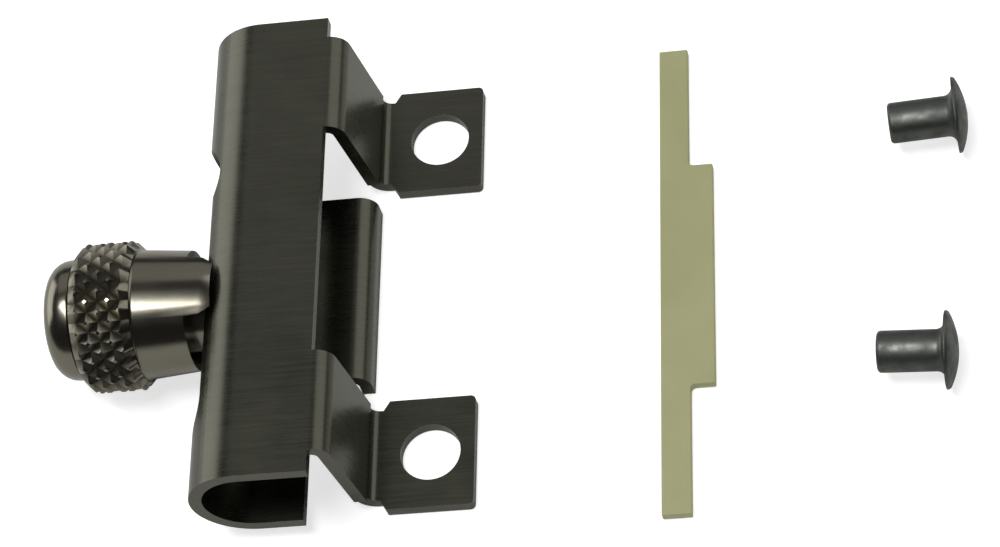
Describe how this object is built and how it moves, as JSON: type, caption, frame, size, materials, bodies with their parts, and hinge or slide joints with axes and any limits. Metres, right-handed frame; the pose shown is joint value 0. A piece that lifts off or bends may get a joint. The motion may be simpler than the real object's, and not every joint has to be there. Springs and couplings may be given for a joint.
{
  "type": "stair gate latch",
  "caption": "Folded sheet-metal gate latch with a spring-loaded pull knob on a sliding bolt, a guide strip and rivets.",
  "frame": {"origin": "on the mounting plane, midway between the two ear holes", "axes": "+X from the knob towards the ears, +Y along the latch towards the end that the bolt comes out of, +Z away from the mounting plane"},
  "size_m": [0.1075, 0.0624, 0.0186],
  "materials": {
    "housing_metal": "satin black nickel",
    "knob_metal": "polished black nickel",
    "bolt_steel": "turned steel",
    "spring_steel": "drawn spring wire",
    "strip_plastic": "natural nylon",
    "rivet_steel": "dark zinc plate"
  },
  "bodies": {
    "housing": {"housing": "housing_metal"},
    "bolt": {"bolt": "bolt_steel", "stud": "bolt_steel", "knob_spring": "spring_steel"},
    "knob": {"knob_body": "knob_metal", "knob_cap": "knob_metal"},
    "strip": {"guide_strip": "strip_plastic"},
    "upper_rivet": {"rivet_upper": "rivet_steel"},
    "lower_rivet": {"rivet_lower": "rivet_steel"}
  },
  "joints": [
    {"name": "bolt_slide", "type": "slide", "parent": "housing", "child": "bolt", "axis": [0, 1, 0], "range_m": [-0.0118, 0.0157]},
    {"name": "knob_pull", "type": "slide", "parent": "bolt", "child": "knob", "axis": [-1, 0, 0], "range_m": [0, 0.003], "stiffness_N_per_m": 600, "springref_m": -0.003, "deforming": ["knob_spring"]},
    {"name": "strip_slide", "type": "slide", "parent": "housing", "child": "strip", "axis": [1, 0, 0], "range_m": [-0.005, 0.005]},
    {"name": "upper_rivet_slide", "type": "slide", "parent": "housing", "child": "upper_rivet", "axis": [1, 0, 0], "range_m": [-0.005, 0.005]},
    {"name": "lower_rivet_slide", "type": "slide", "parent": "housing", "child": "lower_rivet", "axis": [1, 0, 0], "range_m": [-0.005, 0.005]}
  ]
}
